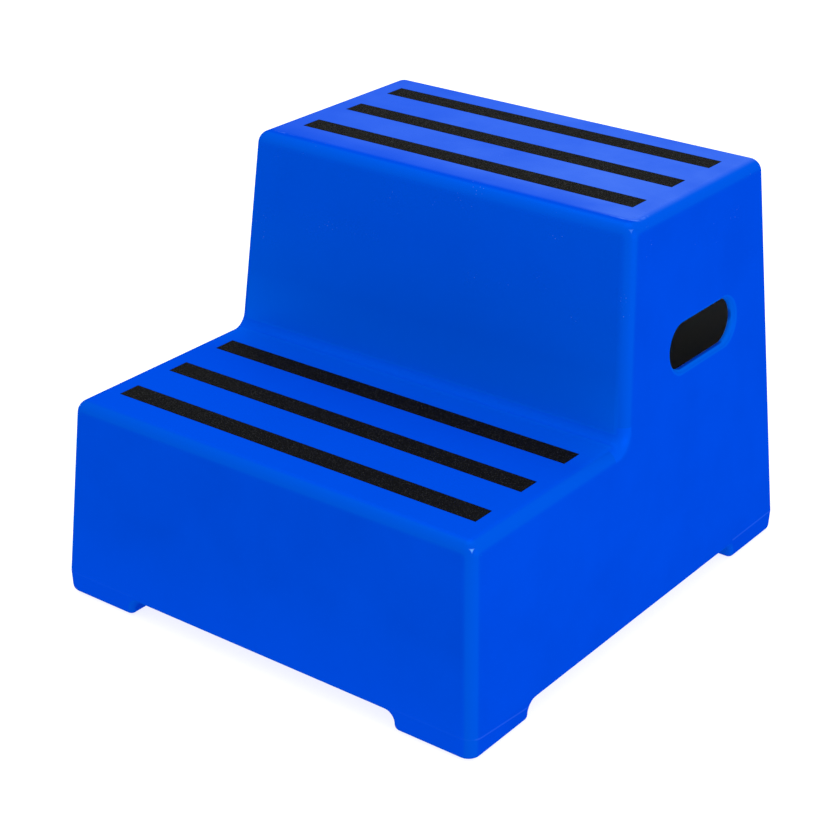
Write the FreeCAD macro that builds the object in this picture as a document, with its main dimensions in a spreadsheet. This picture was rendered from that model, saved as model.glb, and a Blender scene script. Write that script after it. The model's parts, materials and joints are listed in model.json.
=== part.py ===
"""Two-tread mounting block: a hollow rotomoulded shell with grip strips and screwed-on rubber feet.

Frame: millimetres, +Z up.  X runs across the width, Y runs back from the front, so the front wall
faces -Y.  The origin is on the floor, under the middle of the block.
"""

import FreeCAD, Part
import Sketcher
import math
import operator
import os

from FreeCAD import Placement, Rotation, Vector

# ------------------------------------------------------------------------------- driving dimensions
SIZES = {
    # overall form, measured at the parting line, which is the widest level of the moulding
    "block_width": 515.5,
    "block_depth": 568.7,
    "block_height": 430.0,
    "lower_tread_height": 216.0,
    "parting_height": 24.0,
    "riser_setback": 279.2,
    # drafts, as run over rise, that let the two halves of the mould come away
    "side_draft": 0.068,
    "front_draft": 0.069,
    "riser_draft": 0.080,
    "back_draft": 0.090,
    "skirt_draft": 0.035,
    "wall": 5.2,
    # rounding of the moulded edges
    "edge_radius": 14.0,
    "riser_fillet": 12.0,
    "skirt_radius": 7.0,
    # four corner feet, left between two channels that cross under the block
    "foot_lift": 1.0,
    "underside_height": 19.0,
    "foot_width": 92.5,
    "foot_depth": 94.5,
    "foot_side_draft": 0.03,
    "foot_top_radius": 10.0,
    # hand-holds, one through each side wall
    "hold_length": 124.0,
    "hold_height": 48.0,
    "hold_back": 410.3,
    "hold_level": 282.0,
    "hold_lip": 6.0,
    "rim_depth": 8.0,
    "rim_margin": 9.0,
    # grip strips and the shallow seats that they lie in
    "strip_width": 25.0,
    "strip_thick": 1.1,
    "strip_corner": 1.5,
    "strip_pitch": 71.6,
    "upper_strip_length": 401.5,
    "lower_strip_length": 435.5,
    "upper_strip_setback": 58.3,
    "lower_strip_setback": 53.3,
    "seat_depth": 0.8,
    "seat_gap": 0.6,
    # rubber feet, with their screws, washers and moulded-in inserts
    "pad_diameter": 50.0,
    "pad_recess": 7.0,
    "pad_gap": 0.5,
    "pad_inset": 43.0,
    "pad_edge": 1.5,
    "pad_bore": 5.6,
    "bore_depth": 5.5,
    "bore_diameter": 15.0,
    "washer_diameter": 13.0,
    "washer_thick": 1.2,
    "screw_diameter": 5.0,
    "screw_length": 15.0,
    "head_diameter": 9.5,
    "head_height": 3.2,
    "head_rounding": 2.2,
    "screw_point": 0.8,
    "socket_size": 3.0,
    "socket_depth": 1.8,
    "insert_diameter": 8.0,
    "insert_length": 12.0,
    "insert_groove": 0.6,
    "groove_width": 2.0,
    "thread_gap": 0.15,
    "boss_diameter": 20.0,
}

# how far a cutting shape runs past what it cuts, and how far two joined hollows run into each other
PAST = 20.0
OVERLAP = 1.0
# how closely an edge is told from its neighbours, and the least volume that a real cut takes away
NEAR = 0.01
LEAST_CUT = 1.0
SHARP_TURN = math.radians(20)
SIDES = {"left": -1, "right": 1}
ENDS = {"front": -1, "back": 1}
ROWS = {"front": 0, "middle": 1, "back": 2}
OPERATIONS = {"+": operator.add, "-": operator.sub, "*": operator.mul, "/": operator.truediv}

doc = FreeCAD.newDocument("mounting_block")
nodes = {}


# ------------------------------------------------------------------------------ sizes and expressions
def make_sheet():
    """Puts every driving dimension in the sheet, name in column A and value in column B."""
    sheet = doc.addObject("Spreadsheet::Sheet", "sizes")
    for row, (name, value) in enumerate(SIZES.items(), start=1):
        sheet.set(f"A{row}", name)
        sheet.set(f"B{row}", str(value))
        sheet.setAlias(f"B{row}", name)
    doc.recompute()
    return sheet


class Rule:
    """A dimension that follows the sheet: the expression that the document keeps, and its value."""

    def __init__(self, text, value):
        self.text = text
        self.value = value

    def __add__(self, other):
        return joined(self, "+", other)

    def __radd__(self, other):
        return joined(other, "+", self)

    def __sub__(self, other):
        return joined(self, "-", other)

    def __rsub__(self, other):
        return joined(other, "-", self)

    def __mul__(self, other):
        return joined(self, "*", other)

    def __rmul__(self, other):
        return joined(other, "*", self)

    def __truediv__(self, other):
        return joined(self, "/", other)

    def __neg__(self):
        return joined(-1, "*", self)


def as_rule(thing):
    """A rule as it is, or a plain number as a rule."""
    return thing if isinstance(thing, Rule) else Rule(f"({thing:.6f})", float(thing))


def joined(first, sign, second):
    """The rule for two others with +, -, * or / between them."""
    first = as_rule(first)
    second = as_rule(second)
    value = OPERATIONS[sign](first.value, second.value)
    return Rule(f"({first.text} {sign} {second.text})", value)


sheet = make_sheet()


def size(name):
    """One driving dimension, as a rule."""
    return Rule(f"sizes.{name}", float(getattr(sheet, name)))


# heights and half sizes that several sketches share
TOP = size("block_height")
TREAD = size("lower_tread_height")
PARTING = size("parting_height")
WALL = size("wall")
HALF_DEPTH = size("block_depth") / 2
HALF_WIDTH = size("block_width") / 2
RISER_TOP = size("riser_setback") - HALF_DEPTH
HOLD_Y = size("hold_back") - HALF_DEPTH
PAD_TOP = size("foot_lift") + size("pad_recess")
HEAD_SEAT = size("bore_depth") - size("washer_thick")


def front_wall(level):
    """Where the front wall stands at a level."""
    return size("front_draft") * (level - PARTING) - HALF_DEPTH


def side_wall(level):
    """How far out the side walls stand at a level."""
    return HALF_WIDTH - size("side_draft") * (level - PARTING)


def back_wall(level):
    """Where the back wall stands at a level."""
    return HALF_DEPTH - size("back_draft") * (level - PARTING)


def riser_wall(level):
    """Where the riser stands at a level."""
    return RISER_TOP - size("riser_draft") * (TOP - level)


# ----------------------------------------------------------------------------------------- sketching
def new_body(name):
    return doc.addObject("PartDesign::Body", name)


def origin_plane(body, role):
    """One of the body's own origin planes: XY_Plane, XZ_Plane or YZ_Plane."""
    return next(item for item in body.Origin.OriginFeatures if item.Role == role)


def new_sketch(body, name, role, level=None):
    """A sketch on an origin plane, lifted off it by the rule `level` when one is given."""
    sketch = body.newObject("Sketcher::SketchObject", name)
    sketch.AttachmentSupport = [(origin_plane(body, role), "")]
    sketch.MapMode = "FlatFace"
    if level is not None:
        sketch.setExpression("AttachmentOffset.Base.z", level.text)
    return sketch


def constrain(sketch, rule, kind, *elements):
    """Adds a measured constraint and lets it follow a rule."""
    index = sketch.addConstraint(Sketcher.Constraint(kind, *elements, rule.value))
    sketch.setExpression(f"Constraints[{index}]", rule.text)


def pin(sketch, geometry, position, x_rule, y_rule):
    """Holds one point of the sketch at two rules, measured from the sketch's origin."""
    constrain(sketch, as_rule(x_rule), "DistanceX", -1, 1, geometry, position)
    constrain(sketch, as_rule(y_rule), "DistanceY", -1, 1, geometry, position)


def add_polygon(sketch, rules):
    """A closed polygon whose corners are pairs of rules."""
    corners = [Vector(as_rule(x).value, as_rule(y).value, 0) for x, y in rules]
    first = sketch.GeometryCount
    count = len(corners)
    for index in range(count):
        sketch.addGeometry(Part.LineSegment(corners[index], corners[(index + 1) % count]))
    for index in range(count):
        following = first + (index + 1) % count
        sketch.addConstraint(Sketcher.Constraint("Coincident", first + index, 2, following, 1))
    for index, (x, y) in enumerate(rules):
        pin(sketch, first + index, 1, x, y)


def add_circle(sketch, x_rule, y_rule, diameter):
    """A circle with its centre and its diameter held by rules."""
    centre = Vector(as_rule(x_rule).value, as_rule(y_rule).value, 0)
    index = sketch.addGeometry(Part.Circle(centre, Vector(0, 0, 1), diameter.value / 2))
    pin(sketch, index, 3, x_rule, y_rule)
    constrain(sketch, diameter, "Diameter", index)


def add_stadium(sketch, length, height):
    """A slot outline with round ends, its long way along the sketch's x axis, on its origin."""
    radius = height.value / 2
    reach = length.value / 2 - radius
    up = Vector(0, 0, 1)
    quarter = math.pi / 2
    right_end = Part.Circle(Vector(reach, 0, 0), up, radius)
    left_end = Part.Circle(Vector(-reach, 0, 0), up, radius)
    upper = Part.LineSegment(Vector(reach, radius, 0), Vector(-reach, radius, 0))
    lower = Part.LineSegment(Vector(-reach, -radius, 0), Vector(reach, -radius, 0))
    first = sketch.addGeometry(Part.ArcOfCircle(right_end, -quarter, quarter))
    sketch.addGeometry(upper)
    sketch.addGeometry(Part.ArcOfCircle(left_end, quarter, 3 * quarter))
    sketch.addGeometry(lower)
    for here, there in ((0, 1), (1, 2), (2, 3), (3, 0)):
        sketch.addConstraint(Sketcher.Constraint("Tangent", first + here, 2, first + there, 1))
    sketch.addConstraint(Sketcher.Constraint("Horizontal", first + 1))
    pin(sketch, first, 3, (length - height) / 2, 0)
    constrain(sketch, length - height, "DistanceX", first + 2, 3, first, 3)
    constrain(sketch, height / 2, "Radius", first)


# ------------------------------------------------------------------------------------------ features
def tip_shape(body):
    """The body's shape as its last feature leaves it."""
    return (body.Tip or body.BaseFeature).Shape


def pad(body, sketch, name, length, midplane=False):
    """Extrudes a sketch by a rule, to one side of its plane or evenly to both."""
    feature = body.newObject("PartDesign::Pad", name)
    feature.Profile = sketch
    feature.Midplane = midplane
    feature.setExpression("Length", length.text)
    return feature


def pocket(body, sketch, name, depth=None, reverse=False):
    """Cuts a sketch out of the body, to a depth or, with none, both ways and right through."""
    doc.recompute()
    before = tip_shape(body).Volume
    feature = body.newObject("PartDesign::Pocket", name)
    feature.Profile = sketch
    if depth is None:
        feature.Type = "ThroughAll"
        feature.Midplane = True
    else:
        feature.Reversed = reverse
        feature.setExpression("Length", depth.text)
    doc.recompute()
    if feature.Shape.Volume > before - LEAST_CUT:
        raise RuntimeError(f"{name} cuts nothing")
    return feature


def revolve(body, sketch, name):
    """Turns a half section, drawn in the XZ plane, once round the vertical axis."""
    feature = body.newObject("PartDesign::Revolution", name)
    feature.Profile = sketch
    feature.ReferenceAxis = (sketch, ["V_Axis"])
    feature.Angle = 360
    return feature


def mirror_across(body, feature, name):
    """Repeats a feature on the other side of the block's middle plane."""
    mirrored = body.newObject("PartDesign::Mirrored", name)
    mirrored.Originals = [feature]
    mirrored.MirrorPlane = (origin_plane(body, "YZ_Plane"), [""])
    body.Tip = mirrored
    doc.recompute()


def round_edges(body, name, radius, chosen):
    """Fillets the edges of the body's tip that the test `chosen(shape, edge)` picks."""
    doc.recompute()
    base = body.Tip
    shape = tip_shape(body)
    picked = [f"Edge{i}" for i, edge in enumerate(shape.Edges, start=1) if chosen(shape, edge)]
    if not picked:
        raise RuntimeError(f"{name} finds no edges")
    feature = body.newObject("PartDesign::Fillet", name)
    feature.Base = (base, picked)
    feature.setExpression("Radius", radius.text)
    doc.recompute()


def boolean(kind, name, *shapes):
    """A Part boolean of several objects."""
    result = doc.addObject(f"Part::{kind}", name)
    if kind == "Cut":
        result.Base, result.Tool = shapes
    else:
        result.Shapes = list(shapes)
    doc.recompute()
    return result


# ------------------------------------------------------------------------------------- edge tests
def middle(edge):
    """The point half way along an edge."""
    return edge.valueAt((edge.FirstParameter + edge.LastParameter) / 2)


def is_sharp(shape, edge):
    """Whether the two faces that meet at an edge turn by more than a mould's draft there."""
    point = middle(edge)
    normals = []
    for face in shape.ancestorsOfType(edge, Part.Face):
        u, v = face.Surface.parameter(point)
        normals.append(face.normalAt(u, v))
    return len(normals) == 2 and normals[0].getAngle(normals[1]) > SHARP_TURN


def is_upright(shape, edge):
    """Whether an edge rises more than it runs."""
    box = edge.BoundBox
    return box.ZLength > max(box.XLength, box.YLength)


# --------------------------------------------------------------------------------- the moulded form
def cut_side_walls(body, name, half_width, lowest, highest):
    """Cuts away what lies outside two sloping side walls; `half_width` gives their place by level."""
    sketch = new_sketch(body, f"{name}_sides", "XZ_Plane")
    outside = half_width(lowest) + half_width(highest)
    for sign in SIDES.values():
        corners = [
            (sign * half_width(lowest), lowest),
            (sign * half_width(highest), highest),
            (sign * outside, highest),
            (sign * outside, lowest),
        ]
        add_polygon(sketch, corners)
    pocket(body, sketch, f"{name}_side_draft")


def make_stepped_form(name, inset, floor):
    """The two-step wedge of the block, every face set in by `inset`, standing on the level `floor`."""
    body = new_body(name)
    top = TOP - inset
    tread = TREAD - inset
    corners = [
        (front_wall(floor) + inset, floor),
        (front_wall(tread) + inset, tread),
        (riser_wall(tread) + inset, tread),
        (riser_wall(top) + inset, top),
        (back_wall(top) - inset, top),
        (back_wall(floor) - inset, floor),
    ]
    profile = new_sketch(body, f"{name}_profile", "YZ_Plane")
    add_polygon(profile, corners)
    pad(body, profile, f"{name}_pad", size("block_width") + 2 * PAST, midplane=True)
    cut_side_walls(body, name, lambda level: side_wall(level) - inset, floor - PAST, top + PAST)

    riser_foot = riser_wall(tread) + inset

    def is_riser_foot(shape, edge):
        point = middle(edge)
        return abs(point.z - tread.value) < NEAR and abs(point.y - riser_foot.value) < NEAR

    round_edges(body, f"{name}_riser_fillet", size("riser_fillet") + inset, is_riser_foot)

    def is_outer(shape, edge):
        lies_on_floor = edge.BoundBox.ZMax < floor.value + NEAR
        return is_sharp(shape, edge) and not lies_on_floor

    round_edges(body, f"{name}_rounding", size("edge_radius") - inset, is_outer)
    return body


def make_skirt_form():
    """A box that widens upwards from the feet: its walls give the draft below the parting line."""
    body = new_body("skirt_form")
    low = size("foot_lift")
    high = TOP + PAST

    def depth(level):
        return HALF_DEPTH + size("skirt_draft") * (level - PARTING)

    def half_width(level):
        return HALF_WIDTH + size("skirt_draft") * (level - PARTING)

    profile = new_sketch(body, "skirt_profile", "YZ_Plane")
    corners = [(-depth(low), low), (depth(low), low), (depth(high), high), (-depth(high), high)]
    add_polygon(profile, corners)
    pad(body, profile, "skirt_pad", 2 * (half_width(high) + PAST), midplane=True)
    cut_side_walls(body, "skirt", half_width, low - PAST, high + PAST)
    round_edges(body, "skirt_corners", size("edge_radius"), is_upright)
    return body


def make_channels():
    """Two crossing channels under the block; what they leave standing are the four corner feet."""
    body = new_body("foot_channels")
    roof = size("underside_height")
    deep = size("foot_lift") - PAST
    across = ("across", "YZ_Plane", HALF_DEPTH - size("foot_depth"), size("block_width"))
    along = ("along", "XZ_Plane", HALF_WIDTH - size("foot_width"), size("block_depth"))
    for name, plane, roof_half, length in (across, along):
        floor_half = roof_half + size("foot_side_draft") * (roof - deep)
        corners = [(-floor_half, deep), (floor_half, deep), (roof_half, roof), (-roof_half, roof)]
        sketch = new_sketch(body, f"channel_{name}", plane)
        add_polygon(sketch, corners)
        pad(body, sketch, f"channel_{name}_pad", length + 2 * PAST, midplane=True)

    def is_roof_edge(shape, edge):
        return edge.BoundBox.ZMin > roof.value - NEAR

    round_edges(body, "channel_rounding", size("foot_top_radius"), is_roof_edge)
    return body


def foot_centre(side, end):
    """The middle of one foot's rubber pad, seen from above."""
    x = SIDES[side] * (HALF_WIDTH - size("pad_inset"))
    y = ENDS[end] * (HALF_DEPTH - size("pad_inset"))
    return x, y


def make_foot_hollows():
    """The hollow inside each foot, open upwards into the block, with the insert's boss left in it."""
    body = new_body("foot_hollows")
    floor = PAD_TOP + WALL
    inset = size("skirt_draft") * PARTING + WALL
    sketch = new_sketch(body, "foot_hollow_plan", "XY_Plane", floor)
    for side, x_sign in SIDES.items():
        for end, y_sign in ENDS.items():
            x_out = x_sign * (HALF_WIDTH - inset)
            y_out = y_sign * (HALF_DEPTH - inset)
            x_in = x_sign * (HALF_WIDTH - size("foot_width") + WALL)
            y_in = y_sign * (HALF_DEPTH - size("foot_depth") + WALL)
            add_polygon(sketch, [(x_in, y_in), (x_out, y_in), (x_out, y_out), (x_in, y_out)])
            add_circle(sketch, *foot_centre(side, end), size("boss_diameter"))
    pad(body, sketch, "foot_hollow_pad", size("underside_height") + WALL + OVERLAP - floor)

    def is_outer_corner(shape, edge):
        point = middle(edge)
        far_out = abs(point.x) > (HALF_WIDTH - inset).value - NEAR
        return is_upright(shape, edge) and far_out and abs(point.y) > (HALF_DEPTH - inset).value - NEAR

    round_edges(body, "foot_hollow_corners", size("edge_radius") - WALL, is_outer_corner)
    return body


def wall_sketch(body, name, depth):
    """A sketch parallel to the right-hand wall, `depth` in from its face, centred on the hand-hold."""
    sketch = body.newObject("Sketcher::SketchObject", name)
    sketch.AttachmentSupport = [(origin_plane(body, "YZ_Plane"), "")]
    sketch.MapMode = "FlatFace"
    lean = -math.degrees(math.atan(size("side_draft").value))
    sketch.AttachmentOffset = Placement(Vector(0, 0, 0), Rotation(Vector(1, 0, 0), lean))
    level = size("hold_level")
    sketch.setExpression("AttachmentOffset.Base.x", HOLD_Y.text)
    sketch.setExpression("AttachmentOffset.Base.y", level.text)
    sketch.setExpression("AttachmentOffset.Base.z", (side_wall(level) - depth).text)
    return sketch


def make_hollow():
    """The space inside the block, one wall thickness in, with the wall left thicker round the holds."""
    body = make_stepped_form("hollow", WALL, size("underside_height") + WALL)
    rim = wall_sketch(body, "rim_outline", size("rim_depth"))
    margin = 2 * size("rim_margin")
    add_stadium(rim, size("hold_length") + margin, size("hold_height") + margin)
    cut = pocket(body, rim, "rim_right", WALL + PAST, reverse=True)
    mirror_across(body, cut, "rim_left")
    return body


def strip_row(tread, row):
    """The middle of a strip, its length, and the level of its tread."""
    if tread == "upper":
        first = RISER_TOP + size("upper_strip_setback")
        level = TOP
    else:
        first = front_wall(TREAD) + size("lower_strip_setback")
        level = TREAD
    return first + ROWS[row] * size("strip_pitch"), size(f"{tread}_strip_length"), level


def add_strip_outline(sketch, y, length, width):
    """A rectangle across the tread, centred on the block's middle plane."""
    low = y - width / 2
    high = y + width / 2
    add_polygon(sketch, [(-length / 2, low), (length / 2, low), (length / 2, high), (-length / 2, high)])


def round_feet(body):
    """Rounds the bottom rims of the feet and of the walls between them, where the mould is split."""
    lowest = size("foot_lift").value
    roof = size("underside_height").value
    x_wall = HALF_WIDTH.value - WALL.value
    y_wall = HALF_DEPTH.value - WALL.value

    def is_rim(shape, edge):
        point = middle(edge)
        if point.z > roof + NEAR or not is_sharp(shape, edge):
            return False
        on_foot_bottom = point.z < lowest + NEAR
        on_outer_wall = abs(point.x) > x_wall or abs(point.y) > y_wall
        return on_foot_bottom or on_outer_wall

    round_edges(body, "foot_rims", size("skirt_radius"), is_rim)


def cut_strip_seats(body):
    """Three shallow seats in each tread, a little larger than the strips that lie in them."""
    gap = 2 * size("seat_gap")
    for tread in ("upper", "lower"):
        level = strip_row(tread, "front")[2]
        sketch = new_sketch(body, f"{tread}_seats", "XY_Plane", level)
        for row in ROWS:
            y, length, _ = strip_row(tread, row)
            add_strip_outline(sketch, y, length + gap, size("strip_width") + gap)
        pocket(body, sketch, f"{tread}_seat_cut", size("seat_depth"))


def cut_hand_holds(body):
    """The stadium-shaped opening through each side wall, with a rounded lip outside."""
    length = size("hold_length")
    height = size("hold_height")
    outline = wall_sketch(body, "hold_outline", as_rule(-PAST))
    add_stadium(outline, length, height)
    cut = pocket(body, outline, "hold_right", size("rim_depth") + 2 * PAST)
    mirror_across(body, cut, "hold_left")

    centre_y = HOLD_Y.value
    centre_z = size("hold_level").value

    def is_lip(shape, edge):
        point = middle(edge)
        near = abs(point.y - centre_y) < length.value / 2 + NEAR
        near = near and abs(point.z - centre_z) < height.value / 2 + NEAR
        on_face = abs(abs(point.x) - side_wall(as_rule(point.z)).value) < NEAR
        return near and on_face

    round_edges(body, "hold_lips", size("hold_lip"), is_lip)


def cut_pad_recesses(body):
    """A round recess in the bottom of each foot, and above it the bore that holds the insert."""
    recesses = new_sketch(body, "pad_recesses", "XY_Plane", PAD_TOP)
    bores = new_sketch(body, "insert_bores", "XY_Plane", PAD_TOP)
    for side in SIDES:
        for end in ENDS:
            place = foot_centre(side, end)
            add_circle(recesses, *place, size("pad_diameter") + 2 * size("pad_gap"))
            add_circle(bores, *place, size("insert_diameter"))
    pocket(body, recesses, "pad_recess_cut", PAD_TOP)
    pocket(body, bores, "insert_bore_cut", size("insert_length"), reverse=True)


def make_moulded_body():
    """The one-piece hollow shell."""
    outside = make_stepped_form("outside", as_rule(0), size("foot_lift") - PAST)
    tapered = boolean("MultiCommon", "tapered_block", outside, make_skirt_form())
    footed = boolean("Cut", "block_on_feet", tapered, make_channels())
    hollows = boolean("MultiFuse", "all_hollows", make_hollow(), make_foot_hollows())
    shell = boolean("Cut", "plain_shell", footed, hollows)
    body = new_body("moulded_body")
    body.BaseFeature = shell
    doc.recompute()
    round_feet(body)
    cut_strip_seats(body)
    cut_hand_holds(body)
    cut_pad_recesses(body)
    register(body, "moulded_body")


# ------------------------------------------------------------------------------------ added pieces
def register(piece, label, x=0, y=0, z=0):
    """Names a finished sub-part and sets it in its place on the block."""
    piece.Label = label
    for axis, place in zip("xyz", (x, y, z)):
        piece.setExpression(f"Placement.Base.{axis}", as_rule(place).text)
    nodes[label] = piece


def make_grip_strip(tread, row):
    """One strip of anti-slip tape with its corners rounded, lying in its seat."""
    label = f"grip_strip_{tread}_{row}"
    y, length, level = strip_row(tread, row)
    body = new_body(label)
    sketch = new_sketch(body, f"{label}_outline", "XY_Plane")
    add_strip_outline(sketch, as_rule(0), length, size("strip_width"))
    pad(body, sketch, f"{label}_pad", size("strip_thick"))
    round_edges(body, f"{label}_corners", size("strip_corner"), is_upright)
    register(body, label, y=y, z=level - size("seat_depth"))


def make_rubber_foot(side, end):
    """A round rubber foot: a disc with a bevelled rim and a stepped hole for its screw."""
    label = f"rubber_foot_{end}_{side}"
    body = new_body(label)
    outer = size("pad_diameter") / 2
    wide_bore = size("bore_diameter") / 2
    narrow_bore = size("pad_bore") / 2
    corners = [
        (wide_bore, 0),
        (outer - size("pad_edge"), 0),
        (outer, size("pad_edge")),
        (outer, PAD_TOP),
        (narrow_bore, PAD_TOP),
        (narrow_bore, size("bore_depth")),
        (wide_bore, size("bore_depth")),
    ]
    section = new_sketch(body, f"{label}_section", "XZ_Plane")
    add_polygon(section, corners)
    revolve(body, section, f"{label}_turn")
    register(body, label, *foot_centre(side, end))


def make_foot_washer(side, end):
    """A flat steel washer at the top of the rubber foot's wide bore."""
    label = f"foot_washer_{end}_{side}"
    body = new_body(label)
    sketch = new_sketch(body, f"{label}_outline", "XY_Plane")
    add_circle(sketch, 0, 0, size("washer_diameter"))
    add_circle(sketch, 0, 0, size("pad_bore"))
    pad(body, sketch, f"{label}_pad", size("washer_thick"))
    register(body, label, *foot_centre(side, end), HEAD_SEAT)


def make_foot_screw(side, end):
    """A button-head screw, head down, with a hexagon socket; its origin is under the head."""
    label = f"foot_screw_{end}_{side}"
    body = new_body(label)
    shank = size("screw_diameter") / 2
    head = size("head_diameter") / 2
    length = size("screw_length")
    point = size("screw_point")
    crown = -size("head_height")
    corners = [
        (0, crown),
        (head, crown),
        (head, 0),
        (shank, 0),
        (shank, length - point),
        (shank - point, length),
        (0, length),
    ]
    section = new_sketch(body, f"{label}_section", "XZ_Plane")
    add_polygon(section, corners)
    revolve(body, section, f"{label}_turn")

    def is_crown_rim(shape, edge):
        return edge.BoundBox.ZMax < crown.value + NEAR

    round_edges(body, f"{label}_dome", size("head_rounding"), is_crown_rim)

    corner_circle = size("socket_size") / math.sqrt(3)
    turns = [math.radians(60 * i) for i in range(6)]
    hexagon = [(corner_circle * math.cos(turn), corner_circle * math.sin(turn)) for turn in turns]
    socket = new_sketch(body, f"{label}_socket", "XY_Plane", crown)
    add_polygon(socket, hexagon)
    pocket(body, socket, f"{label}_socket_cut", size("socket_depth"), reverse=True)
    register(body, label, *foot_centre(side, end), HEAD_SEAT)


def make_threaded_insert(side, end):
    """A brass bush moulded into the foot, with a waist that keys it into the plastic."""
    label = f"threaded_insert_{end}_{side}"
    body = new_body(label)
    outer = size("insert_diameter") / 2
    bore = size("screw_diameter") / 2 + size("thread_gap")
    length = size("insert_length")
    groove = size("insert_groove")
    flat = size("groove_width") / 2
    corners = [
        (bore, 0),
        (outer, 0),
        (outer, length / 2 - flat - groove),
        (outer - groove, length / 2 - flat),
        (outer - groove, length / 2 + flat),
        (outer, length / 2 + flat + groove),
        (outer, length),
        (bore, length),
    ]
    section = new_sketch(body, f"{label}_section", "XZ_Plane")
    add_polygon(section, corners)
    revolve(body, section, f"{label}_turn")
    register(body, label, *foot_centre(side, end), PAD_TOP)


def check_and_write():
    """Stops on any failed object or bad shape, then writes one file per sub-part."""
    doc.recompute()
    failed = [item.Name for item in doc.Objects if {"Invalid", "Error"} & set(item.State)]
    if failed:
        raise RuntimeError(f"failed objects: {failed}")
    for label, piece in nodes.items():
        if piece.Shape.isNull() or not piece.Shape.isValid():
            raise RuntimeError(f"bad shape: {label}")
    os.makedirs("parts", exist_ok=True)
    for label, piece in nodes.items():
        piece.Shape.exportStep(f"parts/{label}.step")
        print(f"{label}: {piece.Shape.Volume / 1000:.2f} cm3, {len(piece.Shape.Solids)} solid")


make_moulded_body()
for tread in ("upper", "lower"):
    for row in ROWS:
        make_grip_strip(tread, row)
for end in ENDS:
    for side in SIDES:
        make_rubber_foot(side, end)
        make_foot_washer(side, end)
        make_foot_screw(side, end)
        make_threaded_insert(side, end)
check_and_write()
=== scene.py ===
"""Looks for the two-tread mounting block: materials, grip tape, rubber feet, floor, light, camera."""

import json
import math

import bpy
import numpy as np
from mathutils import Matrix, Vector


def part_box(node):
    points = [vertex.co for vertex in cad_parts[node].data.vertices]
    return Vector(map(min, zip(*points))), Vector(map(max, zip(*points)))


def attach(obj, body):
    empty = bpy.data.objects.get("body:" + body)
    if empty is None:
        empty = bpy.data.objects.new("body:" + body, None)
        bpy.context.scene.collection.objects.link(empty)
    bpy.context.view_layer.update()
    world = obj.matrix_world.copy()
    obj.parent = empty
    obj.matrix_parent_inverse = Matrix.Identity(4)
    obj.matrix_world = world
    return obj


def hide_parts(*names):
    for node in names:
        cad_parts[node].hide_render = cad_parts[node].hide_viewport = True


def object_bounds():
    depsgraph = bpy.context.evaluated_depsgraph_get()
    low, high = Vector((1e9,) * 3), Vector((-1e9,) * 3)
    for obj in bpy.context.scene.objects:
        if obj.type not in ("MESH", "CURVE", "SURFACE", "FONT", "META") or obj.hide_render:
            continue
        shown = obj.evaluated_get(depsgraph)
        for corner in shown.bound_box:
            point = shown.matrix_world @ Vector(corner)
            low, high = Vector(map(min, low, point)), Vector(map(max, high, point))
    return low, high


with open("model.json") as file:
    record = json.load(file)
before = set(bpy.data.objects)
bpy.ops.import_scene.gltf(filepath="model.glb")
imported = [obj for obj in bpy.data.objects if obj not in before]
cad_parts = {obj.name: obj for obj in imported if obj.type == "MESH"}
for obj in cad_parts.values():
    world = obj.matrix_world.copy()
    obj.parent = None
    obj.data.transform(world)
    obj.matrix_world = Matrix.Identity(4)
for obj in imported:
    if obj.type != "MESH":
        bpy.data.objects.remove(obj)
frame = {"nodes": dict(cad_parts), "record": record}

CAD_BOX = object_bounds()
MM = 0.001

# ------------------------------------------------------------------------------------- the view
VIEW_AZIMUTH = 36.70      # degrees, from the front wall towards the right-hand wall
VIEW_ELEVATION = 25.80    # degrees above the floor
VIEW_ROLL = 0.49          # degrees, round the line of sight
VIEW_DISTANCE = 2.148     # metres, from the point that the lens is aimed at
AIM_RIGHT = -0.0138       # metres, from the middle of the block to that point
AIM_UP = -0.0457
LENS = 90.20              # millimetres, as is the sensor's width
SENSOR = 36.0

# ------------------------------------------------------------------------------------ the block
# the outer walls lean inwards by their drafts from the parting line up
BLOCK_LOW, BLOCK_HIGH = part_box("moulded_body")
PARTING = 24.0 * MM
SIDE_DRAFT = 0.068
FRONT_DRAFT = 0.069
RISER_DRAFT = 0.080
BACK_DRAFT = 0.090
EDGE_RADIUS = 14.0 * MM
FLAT_CORNER = 10.0 * MM
FOOT_WIDTH = 92.5 * MM
FOOT_DEPTH = 94.5 * MM
SEAT_DEPTH = 0.8 * MM
TREAD_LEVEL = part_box("grip_strip_lower_front")[0].z + SEAT_DEPTH
UPPER_PART = TREAD_LEVEL + 100.0 * MM
ABOVE_FEET = 100.0 * MM
RISER_TOP = BLOCK_LOW.y + 279.2 * MM
RISER_FOOT = RISER_TOP - RISER_DRAFT * (BLOCK_HIGH.z - TREAD_LEVEL)
HOLD_CENTRE = Vector((0.0, BLOCK_LOW.y + 410.3 * MM, 282.0 * MM))
HOLD_REACH_Y = 67.5 * MM
HOLD_REACH_Z = 29.5 * MM

# a face deeper than the skin below the outer walls belongs to the hollow
HOLLOW_FLOOR = 22.5 * MM
SKIN = 4.6 * MM
RIM_SKIN = 7.95 * MM

ROWS = ("front", "middle", "back")
ENDS = ("front", "back")
SIDES = ("left", "right")


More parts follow.
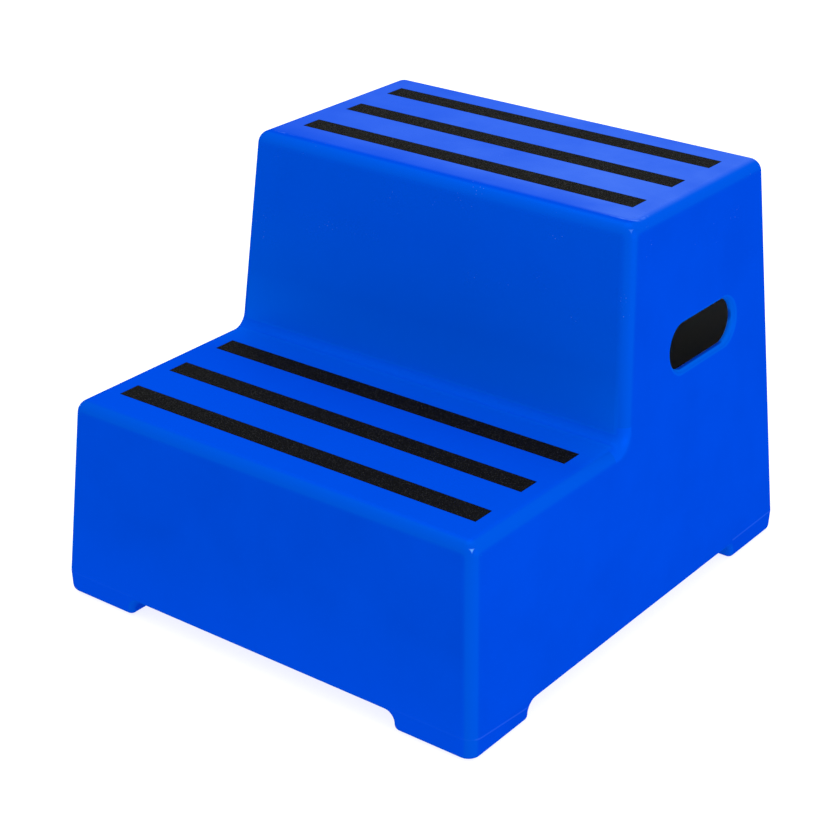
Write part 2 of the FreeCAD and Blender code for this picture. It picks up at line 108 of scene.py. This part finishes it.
# ---------------------------------------------------------------------------------- node helpers
class Graph:
    """A material's node tree, with short calls for the nodes used here."""

    def __init__(self, name):
        self.material = bpy.data.materials.new(name)
        self.material.use_nodes = True
        self.tree = self.material.node_tree
        self.shader = self.tree.nodes["Principled BSDF"]
        geometry = self.add("ShaderNodeNewGeometry")
        self.position = geometry.outputs["Position"]
        self.normal = geometry.outputs["Normal"]

    def add(self, kind, **settings):
        node = self.tree.nodes.new(kind)
        for key, value in settings.items():
            setattr(node, key, value)
        return node

    def feed(self, socket, value):
        if isinstance(value, bpy.types.NodeSocket):
            self.tree.links.new(value, socket)
        else:
            socket.default_value = value

    def math(self, operation, first, second=0.0):
        node = self.add("ShaderNodeMath", operation=operation)
        self.feed(node.inputs[0], first)
        self.feed(node.inputs[1], second)
        return node.outputs[0]

    def plus(self, first, second):
        return self.math("ADD", first, second)

    def minus(self, first, second):
        return self.math("SUBTRACT", first, second)

    def times(self, first, *others):
        """A product; of masks, where all of them hold."""
        for other in others:
            first = self.math("MULTIPLY", first, other)
        return first

    def least(self, first, second):
        return self.math("MINIMUM", first, second)

    def most(self, first, *others):
        """The largest value; of masks, where any of them holds."""
        for other in others:
            first = self.math("MAXIMUM", first, other)
        return first

    def size(self, value):
        return self.math("ABSOLUTE", value)

    def over(self, value, limit):
        """1 where a value is over a limit."""
        return self.math("GREATER_THAN", value, limit)

    def under(self, value, limit):
        """1 where a value is under a limit."""
        return self.math("LESS_THAN", value, limit)

    def outside(self, mask):
        """1 where a mask is 0."""
        return self.minus(1.0, mask)

    def away(self, value, place):
        """How far a value is from a place, either way."""
        return self.size(self.minus(value, place))

    def axes(self, vector=None):
        node = self.add("ShaderNodeSeparateXYZ")
        self.feed(node.inputs[0], vector or self.position)
        return node.outputs[0], node.outputs[1], node.outputs[2]

    def noise(self, scale, detail=2.0, rough=0.5):
        node = self.add("ShaderNodeTexNoise")
        self.feed(node.inputs["Vector"], self.position)
        node.inputs["Scale"].default_value = scale
        node.inputs["Detail"].default_value = detail
        node.inputs["Roughness"].default_value = rough
        return node.outputs[0]

    def cells(self, scale, feature="F1", output="Distance"):
        node = self.add("ShaderNodeTexVoronoi", feature=feature)
        self.feed(node.inputs["Vector"], self.position)
        node.inputs["Scale"].default_value = scale
        return node.outputs[output]

    def span(self, value, low, high, to_low=0.0, to_high=1.0, smooth=False):
        """Maps low..high to to_low..to_high and holds the ends beyond."""
        node = self.add("ShaderNodeMapRange", clamp=True)
        node.interpolation_type = "SMOOTHSTEP" if smooth else "LINEAR"
        self.feed(node.inputs[0], value)
        for index, number in enumerate((low, high, to_low, to_high), start=1):
            node.inputs[index].default_value = number
        return node.outputs[0]

    def blend(self, factor, first, second):
        node = self.add("ShaderNodeMix", data_type="RGBA", blend_type="MIX")
        self.feed(node.inputs[0], factor)
        self.feed(node.inputs[6], first)
        self.feed(node.inputs[7], second)
        return node.outputs[2]

    def bump(self, height, strength, distance, after=None):
        node = self.add("ShaderNodeBump")
        node.inputs["Strength"].default_value = strength
        node.inputs["Distance"].default_value = distance
        self.feed(node.inputs["Height"], height)
        if after is not None:
            self.feed(node.inputs["Normal"], after)
        return node.outputs[0]

    def set(self, **values):
        names = {"color": "Base Color", "rough": "Roughness", "normal": "Normal", "metal": "Metallic",
                 "specular": "Specular IOR Level", "tint": "Specular Tint"}
        for key, value in values.items():
            self.feed(self.shader.inputs[names[key]], value)
        return self.material


def rgb(red, green, blue):
    """An opaque colour from linear red, green and blue."""
    return (red, green, blue, 1.0)


# ------------------------------------------------------------------------- colours of the plastic, and of the light and shade painted on it
PIGMENT_DARK = rgb(0.0, 0.050, 0.515)
PIGMENT_LIGHT = rgb(0.0, 0.056, 0.565)
LOW_FRONT_LIGHT = rgb(0.0, 0.060, 0.63)
LOW_RISER_LIGHT = rgb(0.0, 0.080, 0.56)
LOWER_TREAD_LIGHT = rgb(0.0, 0.063, 0.60)
NOOK_LIGHT = rgb(0.0, 0.096, 0.66)
EDGE_HIGHLIGHT = rgb(0.0, 0.069, 0.55)
RISER_FILLET_LIGHT = rgb(0.0, 0.072, 0.62)
HOLD_LIP_HIGHLIGHT = rgb(0.0, 0.080, 0.58)
HOLD_LIP_DEEP_HIGHLIGHT = rgb(0.0, 0.15, 0.90)
CORNER_GLINT = rgb(0.10, 0.30, 0.85)
TREAD_REFLECTION = rgb(0.048, 0.132, 0.62)
SPECK = rgb(0.15, 0.25, 0.75)
PALE_RIM_LINE = rgb(0.10, 0.24, 0.80)
CREASE_HIGHLIGHT = rgb(0.04, 0.14, 0.72)
SEAT_SHADOW = rgb(0.002, 0.010, 0.050)
HOLLOW_GREY = rgb(0.34, 0.34, 0.34)

# the largest part of a normal, from squareness()
FLAT = 0.998
ROUNDED = 0.90
BLUNT_CORNER = 0.68


# ------------------------------------------------------------------------------------------ masks
def squareness(graph):
    """The largest part of the normal: near 1 on walls and treads, 0.71 on edges, 0.58 on corners."""
    normal_x, normal_y, normal_z = (graph.size(part) for part in graph.axes(graph.normal))
    return graph.most(normal_x, normal_y, normal_z)


def below_walls(graph):
    """Minus how deep a point lies within the sloping walls and the treads, and 0 outside them."""
    x, y, z = graph.axes()
    rise = graph.minus(z, PARTING)

    def wall(coordinate, half, draft):
        """Distance outside one drafted wall, negative inside it."""
        past = graph.minus(coordinate, half)
        return graph.plus(past, graph.times(rise, draft))

    side = wall(graph.size(x), BLOCK_HIGH.x, SIDE_DRAFT)
    back = wall(y, BLOCK_HIGH.y, BACK_DRAFT)
    front = wall(graph.times(y, -1.0), -BLOCK_LOW.y, FRONT_DRAFT)
    riser_half = -RISER_TOP + RISER_DRAFT * (BLOCK_HIGH.z - PARTING)
    riser = wall(graph.times(y, -1.0), riser_half, RISER_DRAFT)
    lower_top = graph.minus(z, TREAD_LEVEL)
    upper_top = graph.minus(z, BLOCK_HIGH.z)
    walls = graph.most(side, back)
    lower_step = graph.most(walls, front, lower_top)
    upper_step = graph.most(walls, riser, upper_top)
    return graph.least(graph.least(lower_step, upper_step), 0.0)


def inside_mask(graph):
    """1 on the inner faces of the shell and 0 outside, from the depth below the sloping walls."""
    z = graph.axes()[2]
    limit = graph.span(near_hold(graph), 0.0, 1.0, -SKIN, -RIM_SKIN)
    deep = graph.times(graph.under(below_walls(graph), limit), graph.over(z, HOLLOW_FLOOR))
    deep = graph.times(deep, graph.over(squareness(graph), BLUNT_CORNER))
    _, normal_y, normal_z = graph.axes(graph.normal)
    turned_back = 0.5
    faces_back = graph.over(graph.minus(normal_y, normal_z), turned_back)
    behind_riser_foot = graph.over(riser_corner(graph, 40.0 * MM), 0.0)
    return graph.most(deep, graph.times(faces_back, behind_riser_foot))


def near_hold(graph):
    """1 in a box round the two hand-holds."""
    _, y, z = graph.axes()
    near_y = graph.under(graph.away(y, HOLD_CENTRE.y), HOLD_REACH_Y)
    near_z = graph.under(graph.away(z, HOLD_CENTRE.z), HOLD_REACH_Z)
    return graph.times(near_y, near_z)


def foot_crease(graph):
    """The faint line left by the mould on the feet's outer sides, which is bumped and given a faint painted
    highlight; on the front feet it runs downhill.
    """
    crease_top = 25.5 * MM
    crease_end = 16.5 * MM
    x, y, z = graph.axes()
    wide = graph.over(graph.size(x), BLOCK_HIGH.x - FOOT_WIDTH)
    deep = graph.over(graph.size(y), BLOCK_HIGH.y - FOOT_DEPTH)
    on_foot = graph.times(wide, deep)
    on_back = graph.over(y, 0.0)
    slope = graph.span(y, BLOCK_LOW.y, BLOCK_LOW.y + FOOT_DEPTH, crease_top, crease_end)
    level = graph.most(slope, graph.times(on_back, crease_top))
    line = graph.span(graph.away(z, level), 0.3 * MM, 1.3 * MM, 1.0, 0.0)
    facing_side = graph.size(graph.axes(graph.normal)[0])
    sideways = graph.span(facing_side, 0.80, 0.97, 0.12, 1.0)
    return graph.times(line, on_foot, sideways)


def riser_corner(graph, reach):
    """1 in the inside corner between the lower tread and the riser, fading out over `reach`."""
    _, y, z = graph.axes()
    outward = graph.most(graph.away(y, RISER_FOOT), graph.away(z, TREAD_LEVEL))
    return graph.span(outward, reach, 0.0)


def from_tread_rim(graph):
    """How far a point of the upper tread lies outside the flat's outline, whose corners are rounded."""
    x, y, _ = graph.axes()
    half_width = BLOCK_HIGH.x - SIDE_DRAFT * (BLOCK_HIGH.z - PARTING) - EDGE_RADIUS / 2
    past_side = graph.minus(graph.size(x), half_width - FLAT_CORNER)
    past_front = graph.minus(RISER_TOP + EDGE_RADIUS + FLAT_CORNER, y)
    past_side = graph.most(past_side, 0.0)
    past_front = graph.most(past_front, 0.0)
    squares = graph.plus(graph.math("POWER", past_side, 2.0), graph.math("POWER", past_front, 2.0))
    return graph.minus(graph.math("SQRT", squares), FLAT_CORNER)


def tread_reflection_and_haze(graph):
    """Where the upper tread carries a painted reflection and is rougher, cloudy and strongest towards the
    right.
    """
    x, y, z = graph.axes()
    facing_up = graph.span(graph.axes(graph.normal)[2], 0.72, 0.92)
    clouds = graph.span(graph.noise(7.0, detail=5.0, rough=0.6), 0.35, 0.65, 0.6, 1.0)
    sideways = graph.span(x, -0.22, 0.22, 0.50, 1.0)
    front = graph.span(y, RISER_TOP + 14.0 * MM, RISER_TOP + 44.0 * MM, 0.45, 1.0)
    right_end = graph.span(x, 0.10, 0.19)
    sideways = graph.times(sideways, graph.most(front, right_end))
    inside = graph.span(from_tread_rim(graph), 3.0 * MM, -5.0 * MM, smooth=True)
    return graph.times(facing_up, graph.over(z, UPPER_PART), clouds, sideways, inside)


def seat_floors(graph):
    """1 on the floors of the tape seats, which show only as a shadow gap round each tape."""
    tolerance = 0.2 * MM
    z = graph.axes()[2]
    level = graph.over(graph.axes(graph.normal)[2], 0.995)
    lower = graph.under(graph.away(z, TREAD_LEVEL - SEAT_DEPTH), tolerance)
    upper = graph.under(graph.away(z, BLOCK_HIGH.z - SEAT_DEPTH), tolerance)
    return graph.times(level, graph.most(lower, upper))


# ------------------------------------------------------------------------------------- materials
def body_color(graph):
    """The pigment, mottled, with painted light: paler in the nook under the riser, low on the front, on the
    riser and on the lower tread.
    """
    _, y, z = graph.axes()
    facing_side, facing_front, facing_up = graph.axes(graph.normal)
    coarse = graph.span(graph.noise(14.0, detail=3.0), 0.3, 0.7, 0.0, 0.7)
    fine = graph.span(graph.noise(900.0, detail=2.0), 0.3, 0.7, 0.0, 0.3)
    color = graph.blend(graph.plus(coarse, fine), PIGMENT_DARK, PIGMENT_LIGHT)
    upright = graph.span(facing_front, -0.80, -0.97)
    # painted light: the front wall is lightened towards the floor
    low_front = graph.times(upright, graph.span(z, 110.0 * MM, 10.0 * MM, 0.0, 0.7))
    color = graph.blend(low_front, color, LOW_FRONT_LIGHT)
    # painted light: the riser takes a lighter, greener colour, most at its foot
    behind_foot_line = graph.over(y, RISER_FOOT - 1.0 * MM)
    low_riser = graph.span(z, TREAD_LEVEL + 150.0 * MM, TREAD_LEVEL, 0.35, 1.0)
    color = graph.blend(graph.times(upright, behind_foot_line, low_riser), color, LOW_RISER_LIGHT)
    # painted light: the lower tread's upward faces take a lighter colour
    facing_up = graph.span(facing_up, 0.90, 0.99, 0.0, 0.7)
    lower_tread = graph.times(facing_up, graph.under(z, TREAD_LEVEL + 1.0 * MM))
    color = graph.blend(lower_tread, color, LOWER_TREAD_LIGHT)
    # painted light: the nook where the lower tread meets the riser is lightened
    not_side = graph.span(graph.size(facing_side), 0.6, 0.3)
    nook = graph.times(riser_corner(graph, 65.0 * MM), not_side)
    return graph.blend(nook, color, NOOK_LIGHT)


def painted_edge_light(graph, color):
    """Painted highlights on the rounded edges and hand-hold lips, painted light on the fillet at the
    riser's foot, and painted glints on the corners.
    """
    z = graph.axes()[2]
    square = squareness(graph)
    off_fillet = graph.outside(graph.over(riser_corner(graph, 16.0 * MM), 0.0))
    # painted highlight along the rounded edges
    edge = graph.times(graph.span(square, FLAT, ROUNDED, smooth=True), off_fillet)
    color = graph.blend(edge, color, EDGE_HIGHLIGHT)
    # painted light on the fillet at the riser's foot
    fillet = graph.span(square, FLAT, 0.93, smooth=True)
    fillet = graph.times(fillet, graph.outside(off_fillet))
    color = graph.blend(fillet, color, RISER_FILLET_LIGHT)
    hold = near_hold(graph)
    # painted highlight on the hand-hold lips, brightest on their deep inner faces
    lip = graph.times(hold, graph.span(square, 0.995, 0.95))
    deep = graph.span(graph.size(graph.axes(graph.normal)[0]), 0.75, 0.10)
    color = graph.blend(lip, color, graph.blend(deep, HOLD_LIP_HIGHLIGHT, HOLD_LIP_DEEP_HIGHLIGHT))
    # painted glint on the rounded corners, fainter on the upper step
    corner = graph.span(square, 0.67, 0.595, smooth=True)
    glint = graph.times(corner, graph.outside(hold), off_fillet)
    strength = graph.span(z, TREAD_LEVEL, TREAD_LEVEL + 20.0 * MM, 1.0, 0.3)
    strength = graph.times(strength, graph.over(z, ABOVE_FEET))
    return graph.blend(graph.times(glint, strength), color, CORNER_GLINT)


def add_pale_marks(graph, color):
    """Pale specks on the upper part of the block and a thin pale line round the upper tread's front
    corners.
    """
    x, y, z = graph.axes()
    upper = graph.over(z, UPPER_PART)
    dots = graph.span(graph.cells(260.0), 0.13, 0.05)
    patches = graph.span(graph.noise(30.0), 0.60, 0.66)
    color = graph.blend(graph.times(dots, patches, upper, 0.5), color, SPECK)
    # a thin pale line on the rim of the upper tread's flat, near its front corners
    rim = graph.span(graph.size(from_tread_rim(graph)), 0.4 * MM, 1.6 * MM, 1.0, 0.0)
    corner = graph.span(graph.size(x), 0.185, 0.205)
    front = graph.span(y, RISER_TOP + 45.0 * MM, RISER_TOP + 25.0 * MM)
    broken = graph.span(graph.noise(160.0), 0.42, 0.58)
    pale_rim_line = graph.times(graph.times(rim, broken), graph.times(corner, front))
    return graph.blend(graph.times(pale_rim_line, upper, 0.4), color, PALE_RIM_LINE)


def make_polyethylene():
    """Satin blue moulded plastic, with painted highlights at its edges, pale marks on its upper part and a
    painted reflection on the upper tread.
    """
    graph = Graph("blue_polyethylene")
    color = painted_edge_light(graph, body_color(graph))
    # painted reflection on the upper tread; the same mask also raises the roughness
    reflection_and_haze = tread_reflection_and_haze(graph)
    color = add_pale_marks(graph, graph.blend(reflection_and_haze, color, TREAD_REFLECTION))
    crease = foot_crease(graph)
    # painted highlight along the crease on the feet
    color = graph.blend(graph.times(crease, 0.25), color, CREASE_HIGHLIGHT)
    color = graph.blend(seat_floors(graph), color, SEAT_SHADOW)
    color = graph.blend(inside_mask(graph), color, HOLLOW_GREY)
    rough = graph.span(graph.noise(26.0, detail=5.0), 0.3, 0.7, 0.34, 0.42)
    rough = graph.plus(rough, graph.times(reflection_and_haze, 0.12))
    normal = graph.bump(graph.noise(9.0, detail=1.0), 0.30, 2.0 * MM)
    normal = graph.bump(graph.noise(650.0, detail=2.0), 0.25, 0.08 * MM, after=normal)
    normal = graph.bump(crease, 0.5, 0.3 * MM, after=normal)
    return graph.set(color=color, rough=rough, normal=normal, specular=0.0, metal=0.12,
                     tint=rgb(0.05, 0.3, 1.0))


def make_grip_tape():
    """Black mineral grit: each grain its own shade and tilt, some catching the light."""
    grains_per_metre = 1500.0
    graph = Graph("black_grip_tape")
    grain = graph.cells(grains_per_metre, output="Color")
    edge = graph.cells(grains_per_metre, feature="DISTANCE_TO_EDGE")
    lit = graph.span(graph.axes(grain)[0], 0.88, 1.0)
    color = graph.blend(lit, rgb(0.0022, 0.0022, 0.0024), rgb(0.030, 0.030, 0.032))
    dust = graph.span(graph.noise(40.0, detail=4.0), 0.45, 0.75, 0.0, 0.35)
    color = graph.blend(dust, color, rgb(0.005, 0.005, 0.006))
    rough = graph.span(graph.axes(grain)[1], 0.0, 1.0, 0.60, 0.95)
    height = graph.plus(graph.span(edge, 0.0, 0.3), graph.axes(grain)[2])
    normal = graph.bump(height, 0.8, 0.18 * MM)
    return graph.set(color=color, rough=rough, normal=normal, specular=0.04)


def make_rubber():
    """Matt black moulded rubber with a dusty bloom."""
    graph = Graph("black_rubber")
    bloom = graph.span(graph.noise(120.0, detail=5.0), 0.4, 0.75)
    color = graph.blend(bloom, rgb(0.010, 0.010, 0.010), rgb(0.030, 0.029, 0.028))
    rough = graph.span(graph.noise(60.0, detail=3.0), 0.3, 0.7, 0.62, 0.82)
    normal = graph.bump(graph.noise(1100.0, detail=3.0), 0.35, 0.10 * MM)
    return graph.set(color=color, rough=rough, normal=normal)


def make_metal(name, light, dark, rough_low, rough_high):
    """Plated or plain metal with turning marks and a little tarnish."""
    graph = Graph(name)
    tarnish = graph.span(graph.noise(300.0, detail=5.0), 0.35, 0.7)
    color = graph.blend(tarnish, light, dark)
    rough = graph.span(graph.noise(700.0, detail=3.0), 0.3, 0.7, rough_low, rough_high)
    normal = graph.bump(graph.noise(2400.0, detail=2.0), 0.2, 0.04 * MM)
    return graph.set(color=color, rough=rough, normal=normal, metal=1.0)


def make_floor_material():
    """A plain white studio floor, lit from below like a light table, with the faintest variation."""
    graph = Graph("studio_floor")
    color = graph.blend(graph.noise(3.0, detail=2.0), rgb(0.33, 0.33, 0.33), rgb(0.35, 0.35, 0.35))
    graph.shader.inputs["Emission Color"].default_value = rgb(1.0, 1.0, 1.0)
    graph.shader.inputs["Emission Strength"].default_value = 0.82
    return graph.set(color=color, rough=0.9, specular=0.1)


MATERIALS = {
    "blue_polyethylene": make_polyethylene(),
    "black_grip_tape": make_grip_tape(),
    "black_rubber": make_rubber(),
    "zinc_steel": make_metal("zinc_steel", rgb(0.66, 0.66, 0.64), rgb(0.42, 0.42, 0.40), 0.24, 0.42),
    "brass": make_metal("brass", rgb(0.72, 0.52, 0.22), rgb(0.45, 0.30, 0.12), 0.25, 0.45),
}


def dress_cad_nodes():
    """Gives every carried-over CAD node the material of its slot."""
    slots = {part["node"]: part["material_slot"] for part in frame["record"]["subparts"]}
    for name, node in frame["nodes"].items():
        material = MATERIALS[slots[name]]
        if not node.material_slots:
            node.data.materials.append(material)
        for slot in node.material_slots:
            slot.material = material


# ---------------------------------------------------------------------------------- added pieces
def make_object(name, vertices, faces):
    """A new flat-shaded mesh object in the scene."""
    mesh = bpy.data.meshes.new(name)
    mesh.from_pydata([tuple(v) for v in vertices], [], faces)
    mesh.update()
    piece = bpy.data.objects.new(name, mesh)
    bpy.context.scene.collection.objects.link(piece)
    return piece


def finish_piece(piece, slot, *cad_nodes):
    """Gives a new piece its material and its place in the model, and hides the CAD nodes that it stands
    for.
    """
    piece.data.materials.append(MATERIALS[slot])
    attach(piece, "root")
    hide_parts(*cad_nodes)


GRIT_PITCH = 1.0 * MM     # spacing of the points over the tape
GRIT_HEIGHT = 0.30 * MM   # tallest grain above the tape's backing
GRIT_STRAY = 0.35         # share of the pitch by which a point may stray
CUT_RIM = 0.5 * MM        # border of the tape that stays smooth


def grit_points(low, high, columns, rows, seed):
    """Points over the tape's top, strayed and lifted by grit inside a smooth cut rim."""
    random = np.random.default_rng(seed)
    xs = np.linspace(low.x, high.x, columns)
    ys = np.linspace(low.y, high.y, rows)
    grid_x, grid_y = np.meshgrid(xs, ys, indexing="ij")
    border = np.minimum.reduce([grid_x - low.x, high.x - grid_x, grid_y - low.y, high.y - grid_y])
    inner = border > CUT_RIM
    stray = GRIT_PITCH * GRIT_STRAY
    grid_x = grid_x + np.where(inner, random.uniform(-stray, stray, grid_x.shape), 0.0)
    grid_y = grid_y + np.where(inner, random.uniform(-stray, stray, grid_y.shape), 0.0)
    backing = high.z - GRIT_HEIGHT
    grit = random.beta(1.6, 1.8, grid_x.shape) * GRIT_HEIGHT
    grid_z = np.where(inner, backing + grit, backing)
    return np.stack([grid_x, grid_y, grid_z], axis=-1).reshape(-1, 3)


def grid_faces(columns, rows):
    """The squares of a grid whose points are numbered row by row within each column."""
    faces = []
    for i in range(columns - 1):
        for j in range(rows - 1):
            a = i * rows + j
            faces.append((a, a + rows, a + rows + 1, a + 1))
    return faces


def grid_border(columns, rows):
    """The numbers of the grid's outer points, once round."""
    loop = [i * rows for i in range(columns)]
    loop += [(columns - 1) * rows + j for j in range(1, rows)]
    loop += [i * rows + rows - 1 for i in range(columns - 2, -1, -1)]
    loop += [j for j in range(rows - 2, 0, -1)]
    return loop


def make_grit_strip(tread, row, seed):
    """A strip of tape as a fine sheet: a rough top of grit, a clean cut rim and a flat underside."""
    node = f"grip_strip_{tread}_{row}"
    low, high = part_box(node)
    columns = int((high.x - low.x) / GRIT_PITCH) + 1
    rows = int((high.y - low.y) / GRIT_PITCH) + 1
    top = grit_points(low, high, columns, rows, seed)
    faces = grid_faces(columns, rows)
    loop = grid_border(columns, rows)
    skirt = [(*top[v][:2], low.z) for v in loop]
    first = len(top)
    count = len(loop)
    for k in range(count):
        following = (k + 1) % count
        faces.append((loop[k], first + k, first + following, loop[following]))
    faces.append(tuple(first + k for k in range(count))[::-1])
    piece = make_object(f"grit_tape_{tread}_{row}", list(top) + skirt, faces)
    finish_piece(piece, "black_grip_tape", node)


def turn_profile(name, centre, profile, segments=96):
    """A closed ring turned round a vertical axis from (radius, height) points."""
    vertices = []
    count = len(profile)
    for k in range(segments):
        angle = 2 * math.pi * k / segments
        for radius, height in profile:
            x = centre.x + radius * math.cos(angle)
            y = centre.y + radius * math.sin(angle)
            vertices.append((x, y, height))
    faces = []
    for k in range(segments):
        after = (k + 1) % segments
        for j in range(count):
            over = (j + 1) % count
            faces.append((k * count + j, after * count + j, after * count + over, k * count + over))
    return make_object(name, vertices, faces)


def foot_profile(ground, top, outer):
    """Half the section of a ribbed foot: the screw's two bores, the ribbed sole and the rounded rim."""
    shank = 2.8 * MM
    head_bore = 7.5 * MM
    head_bore_top = 5.5 * MM
    bore_bevel = 0.5 * MM
    rib = 2.2 * MM
    gap = 1.4 * MM
    groove = 1.0 * MM
    groove_lean = 0.25 * MM
    plain_rim = 0.9 * MM
    rim_round = 1.5 * MM
    rim_inset = 0.45 * MM
    profile = [(shank, top), (shank, head_bore_top), (head_bore, head_bore_top)]
    profile += [(head_bore, ground + bore_bevel), (head_bore + bore_bevel, ground)]
    radius = head_bore + bore_bevel + rib
    while radius + gap + rib < outer - plain_rim:
        profile += [(radius, ground), (radius + groove_lean, ground + groove)]
        profile += [(radius + gap - groove_lean, ground + groove), (radius + gap, ground)]
        radius += gap + rib
    profile += [(outer - rim_round, ground), (outer - rim_inset, ground + rim_inset)]
    profile += [(outer, ground + rim_round), (outer, top)]
    return profile


def make_ribbed_foot(end, side):
    """A rubber foot with rings of tread moulded into its underside."""
    node = f"rubber_foot_{end}_{side}"
    low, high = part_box(node)
    centre = (low + high) / 2
    outer = (high.x - low.x) / 2
    profile = foot_profile(low.z, high.z, outer)
    piece = turn_profile(f"ribbed_foot_{end}_{side}", centre, profile[::-1])
    finish_piece(piece, "black_rubber", node)


# ----------------------------------------------------------------------------------- the studio
def make_floor():
    reach = 12.0
    corners = [(-reach, -reach, 0), (reach, -reach, 0), (reach, reach, 0), (-reach, reach, 0)]
    floor = make_object("floor", corners, [(0, 1, 2, 3)])
    floor.data.materials.append(make_floor_material())


def make_softbox(name, side, power, place, target, color=(1.0, 1.0, 1.0)):
    """A square soft light, aimed at a point."""
    lamp = bpy.data.lights.new(name, "AREA")
    lamp.color = color
    lamp.shape = "RECTANGLE"
    lamp.size = side
    lamp.size_y = side
    lamp.energy = power
    light = bpy.data.objects.new(name, lamp)
    light.location = place
    light.rotation_euler = (Vector(target) - Vector(place)).to_track_quat("-Z", "Y").to_euler()
    bpy.context.scene.collection.objects.link(light)


def light_studio():
    """An even white surround, a soft light above and a violet one to the right."""
    world = bpy.data.worlds.new("studio")
    world.use_nodes = True
    background = world.node_tree.nodes["Background"]
    background.inputs["Color"].default_value = rgb(1.0, 1.03, 1.0)
    background.inputs["Strength"].default_value = 1.10
    bpy.context.scene.world = world
    make_softbox("overhead_softbox", side=1.6, power=20.0, place=(-0.2, 0.4, 2.4), target=(0.0, 0.0, 0.3))
    make_softbox("side_softbox", side=1.4, power=15.0, place=(2.4, -0.4, 0.8), target=(0.0, 0.0, 0.1),
                 color=(0.9, 0.75, 1.0))


def place_camera():
    """Stands the camera round the block by its azimuth and elevation, aimed near the middle."""
    azimuth, elevation = math.radians(VIEW_AZIMUTH), math.radians(VIEW_ELEVATION)
    back = Vector((math.sin(azimuth) * math.cos(elevation),
                   -math.cos(azimuth) * math.cos(elevation),
                   math.sin(elevation)))
    right = Vector((math.cos(azimuth), math.sin(azimuth), 0.0))
    up = back.cross(right)
    middle = (CAD_BOX[0] + CAD_BOX[1]) / 2
    aim = middle + right * AIM_RIGHT + up * AIM_UP
    lens = bpy.data.cameras.new("camera")
    lens.lens = LENS
    lens.sensor_width = SENSOR
    camera = bpy.data.objects.new("camera", lens)
    roll = Matrix.Rotation(math.radians(VIEW_ROLL), 4, back)
    turned = roll.to_3x3() @ Matrix((right, up, back)).transposed()
    camera.matrix_world = Matrix.Translation(aim + back * VIEW_DISTANCE) @ turned.to_4x4()
    bpy.context.scene.collection.objects.link(camera)
    bpy.context.scene.camera = camera


FIRST_SEED = 11

dress_cad_nodes()
for index, (tread, row) in enumerate((t, r) for t in ("upper", "lower") for r in ROWS):
    make_grit_strip(tread, row, seed=FIRST_SEED + index)
for end in ENDS:
    for side in SIDES:
        make_ribbed_foot(end, side)
make_floor()
light_studio()
place_camera()
bpy.context.scene.view_settings.view_transform = "Standard"
